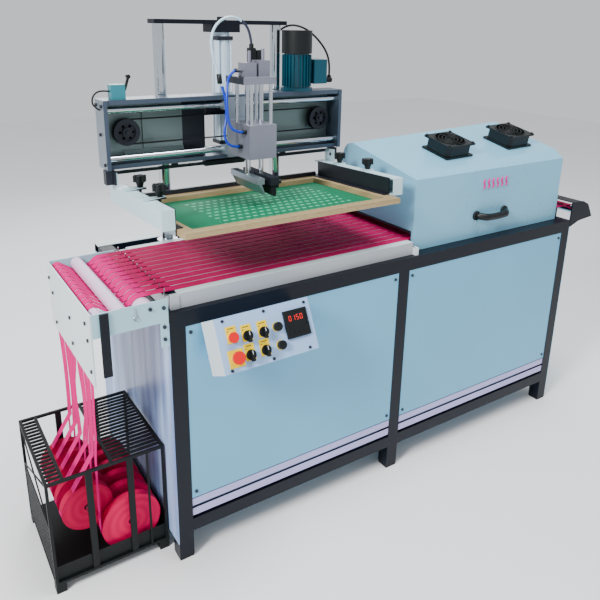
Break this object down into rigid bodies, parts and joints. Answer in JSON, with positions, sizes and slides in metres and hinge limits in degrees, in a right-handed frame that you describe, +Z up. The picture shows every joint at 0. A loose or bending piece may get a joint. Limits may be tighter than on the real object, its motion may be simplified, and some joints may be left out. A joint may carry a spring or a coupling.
{
  "type": "flatbed tape screen printing machine",
  "caption": "Flatbed screen printer for narrow tapes: roller infeed from a reel crate, lifting print head with squeegee carriage over a framed screen, and a fan-topped heater tunnel.",
  "frame": {"origin": "middle of the machine's footprint on the floor", "axes": "+X along the table in the direction the tapes travel, +Y from the operator's side to the back, +Z up"},
  "size_m": [2.16, 0.8358, 1.5435],
  "materials": {
    "aluminium": "anodised",
    "bed_white": "satin white",
    "black_plastic": "matt",
    "chrome": "ground and plated",
    "film_blue": "pale blue sheet under protective film",
    "frame_black": "semi-gloss near-black paint",
    "grey_plastic": "matt grey",
    "hose_blue": "polyurethane tube",
    "mesh_green": "tensioned mesh with green emulsion",
    "panel_blue": "satin pale blue paint",
    "red_plastic": "gloss red",
    "rubber_black": "matt",
    "steel": "brushed",
    "tape_pink": "woven polyester tape, satin",
    "teal_paint": "gloss teal enamel",
    "white_wrap": "smooth covering",
    "wood": "planed pine",
    "yellow_plate": "matt yellow"
  },
  "bodies": {
    "machine": {"table_frame": "frame_black", "foot_pads": "rubber_black", "table_panels": "panel_blue", "left_end_panel": "film_blue", "bed_plates": "bed_white", "roller_brackets": "frame_black", "fasteners": "steel", "tape_webs": "tape_pink", "hanging_tapes": "tape_pink", "reel_crate": "frame_black", "lift_frame": "chrome", "lift_cylinder": "aluminium", "console_case": "panel_blue", "control_plates": "yellow_plate", "temperature_controller": "black_plastic", "electrical_box": "grey_plastic", "hood_hinges": "steel"},
    "head": {"beam_frame": "aluminium", "carriage_rails": "chrome", "head_mounts": "frame_black", "drive_belt": "rubber_black", "drive_motor": "teal_paint", "motor_cable": "rubber_black", "switch_lead": "rubber_black", "limit_switch": "teal_paint"},
    "left_belt_pulley": {"left_pulley": "aluminium"},
    "right_belt_pulley": {"right_pulley": "aluminium"},
    "carriage": {"carriage_slide": "aluminium", "carriage_block": "aluminium", "air_hose_a": "hose_blue", "air_hose_b": "rubber_black"},
    "squeegee_unit": {"squeegee": "aluminium"},
    "flood_unit": {"flood_bar": "steel"},
    "screen": {"screen_arms": "aluminium", "screen_frame": "wood", "screen_mesh": "mesh_green"},
    "hood": {"hood_shell": "panel_blue", "hood_handle": "chrome", "heater_unit": "steel", "fan_frames": "black_plastic"},
    "impeller_1": {"fan_impeller_1": "black_plastic"},
    "impeller_2": {"fan_impeller_2": "black_plastic"},
    "infeed_wrap_roller": {"wrap_roller": "white_wrap"},
    "infeed_idler_roller": {"idler_roller": "white_wrap"},
    "infeed_feed_roller": {"feed_roller": "white_wrap"},
    "exit_roller": {"outfeed_roller": "chrome"},
    "reels_a": {"front_reels": "tape_pink"},
    "reels_b": {"rear_reels": "tape_pink"},
    "start": {"start_button": "red_plastic"},
    "stop": {"stop_button": "red_plastic"},
    "knob_1": {"clamp_knob_1": "black_plastic"},
    "switch_1": {"selector_1": "black_plastic"},
    "knob_2": {"clamp_knob_2": "black_plastic"},
    "switch_2": {"selector_2": "black_plastic"},
    "knob_3": {"clamp_knob_3": "black_plastic"},
    "switch_3": {"selector_3": "black_plastic"},
    "knob_4": {"clamp_knob_4": "black_plastic"},
    "switch_4": {"selector_4": "black_plastic"},
    "dial_1": {"speed_knob_1": "black_plastic"},
    "dial_2": {"speed_knob_2": "black_plastic"}
  },
  "joints": [
    {"name": "head_lift", "type": "slide", "parent": "machine", "child": "head", "axis": [0, 0, 1], "range_m": [-0.12, 0]},
    {"name": "carriage_travel", "type": "slide", "parent": "head", "child": "carriage", "axis": [1, 0, 0], "range_m": [-0.24, 0.24]},
    {"name": "left_pulley_turn", "type": "hinge", "parent": "head", "child": "left_belt_pulley", "pos_m": [-0.683, 0.1669, 1.207], "axis": [0, 1, 0], "range_deg": [-400, 400]},
    {"name": "right_pulley_turn", "type": "hinge", "parent": "head", "child": "right_belt_pulley", "pos_m": [0.012, 0.1669, 1.207], "axis": [0, 1, 0], "range_deg": [-400, 400]},
    {"name": "squeegee_lift", "type": "slide", "parent": "carriage", "child": "squeegee_unit", "axis": [0, 0, 1], "range_m": [-0.018, 0.008]},
    {"name": "flood_lift", "type": "slide", "parent": "carriage", "child": "flood_unit", "axis": [0, 0, 1], "range_m": [-0.018, 0.008]},
    {"name": "screen_tilt", "type": "hinge", "parent": "head", "child": "screen", "pos_m": [-0.744, 0.1389, 1.078], "axis": [1, 0, 0], "range_deg": [0, 2.6]},
    {"name": "clamp_knob_1_turn", "type": "hinge", "parent": "screen", "child": "knob_1", "pos_m": [-0.686, -0.08677, 1.06823], "axis": [0, 0.0454, 0.999], "range_deg": [-360, 360]},
    {"name": "clamp_knob_2_turn", "type": "hinge", "parent": "screen", "child": "knob_2", "pos_m": [-0.686, 0.06707, 1.06124], "axis": [0, 0.0454, 0.999], "range_deg": [-360, 360]},
    {"name": "clamp_knob_3_turn", "type": "hinge", "parent": "screen", "child": "knob_3", "pos_m": [0.039, -0.08677, 1.06823], "axis": [0, 0.0454, 0.999], "range_deg": [-360, 360]},
    {"name": "clamp_knob_4_turn", "type": "hinge", "parent": "screen", "child": "knob_4", "pos_m": [0.039, 0.06707, 1.06124], "axis": [0, 0.0454, 0.999], "range_deg": [-360, 360]},
    {"name": "hood_open", "type": "hinge", "parent": "machine", "child": "hood", "pos_m": [-0.744, 0.1889, 0.81], "axis": [-1, 0, 0], "range_deg": [0, 75]},
    {"name": "fan_1_spin", "type": "hinge", "parent": "hood", "child": "impeller_1", "pos_m": [0.42664, -0.0654, 1.0867], "axis": [-0.0269, -0.1989, 0.9796], "continuous": true},
    {"name": "fan_2_spin", "type": "hinge", "parent": "hood", "child": "impeller_2", "pos_m": [0.75063, -0.06551, 1.09613], "axis": [-0.0269, -0.207, 0.978], "continuous": true},
    {"name": "wrap_roller_turn", "type": "hinge", "parent": "machine", "child": "infeed_wrap_roller", "pos_m": [-0.922, -0.0631, 0.828], "axis": [0, 1, 0], "continuous": true},
    {"name": "idler_roller_turn", "type": "hinge", "parent": "machine", "child": "infeed_idler_roller", "pos_m": [-0.864, -0.0631, 0.828], "axis": [0, 1, 0], "continuous": true},
    {"name": "feed_roller_turn", "type": "hinge", "parent": "machine", "child": "infeed_feed_roller", "pos_m": [-0.799, -0.0631, 0.8145], "axis": [0, 1, 0], "continuous": true},
    {"name": "outfeed_roller_turn", "type": "hinge", "parent": "machine", "child": "exit_roller", "pos_m": [1.008, -0.0631, 0.826], "axis": [0, 1, 0], "continuous": true},
    {"name": "front_reels_turn", "type": "hinge", "parent": "machine", "child": "reels_a", "pos_m": [-0.852, -0.0631, 0.128], "axis": [0, 1, 0], "continuous": true},
    {"name": "rear_reels_turn", "type": "hinge", "parent": "machine", "child": "reels_b", "pos_m": [-0.966, -0.0631, 0.208], "axis": [0, 1, 0], "continuous": true},
    {"name": "start_press", "type": "slide", "parent": "machine", "child": "start", "axis": [0, 0.891, -0.454], "range_m": [0, 0.004], "stiffness_N_per_m": 600, "springref_m": -0.001},
    {"name": "stop_press", "type": "slide", "parent": "machine", "child": "stop", "axis": [0, 0.891, -0.454], "range_m": [0, 0.0045], "stiffness_N_per_m": 900, "springref_m": -0.001},
    {"name": "selector_1_turn", "type": "hinge", "parent": "machine", "child": "switch_1", "pos_m": [-0.572, -0.36879, 0.74065], "axis": [0, -0.891, 0.454], "range_deg": [-45, 45]},
    {"name": "selector_2_turn", "type": "hinge", "parent": "machine", "child": "switch_2", "pos_m": [-0.524, -0.36924, 0.73976], "axis": [0, -0.891, 0.454], "range_deg": [-45, 45]},
    {"name": "selector_3_turn", "type": "hinge", "parent": "machine", "child": "switch_3", "pos_m": [-0.575, -0.39149, 0.6961], "axis": [0, -0.891, 0.454], "range_deg": [-45, 45]},
    {"name": "selector_4_turn", "type": "hinge", "parent": "machine", "child": "switch_4", "pos_m": [-0.529, -0.39104, 0.69699], "axis": [0, -0.891, 0.454], "range_deg": [-45, 45]},
    {"name": "speed_knob_1_turn", "type": "hinge", "parent": "machine", "child": "dial_1", "pos_m": [-0.482, -0.36743, 0.74332], "axis": [0, -0.891, 0.454], "range_deg": [-150, 150]},
    {"name": "speed_knob_2_turn", "type": "hinge", "parent": "machine", "child": "dial_2", "pos_m": [-0.482, -0.39013, 0.69877], "axis": [0, -0.891, 0.454], "range_deg": [-150, 150]}
  ],
  "couplings": [
    {"joint": "left_pulley_turn", "follows": "carriage_travel", "rad_per_m": 27.397},
    {"joint": "right_pulley_turn", "follows": "carriage_travel", "rad_per_m": 27.397},
    {"joint": "wrap_roller_turn", "follows": "feed_roller_turn", "ratio": 1.8844},
    {"joint": "idler_roller_turn", "follows": "feed_roller_turn", "ratio": -1.4813},
    {"joint": "outfeed_roller_turn", "follows": "feed_roller_turn", "ratio": 1.689}
  ]
}
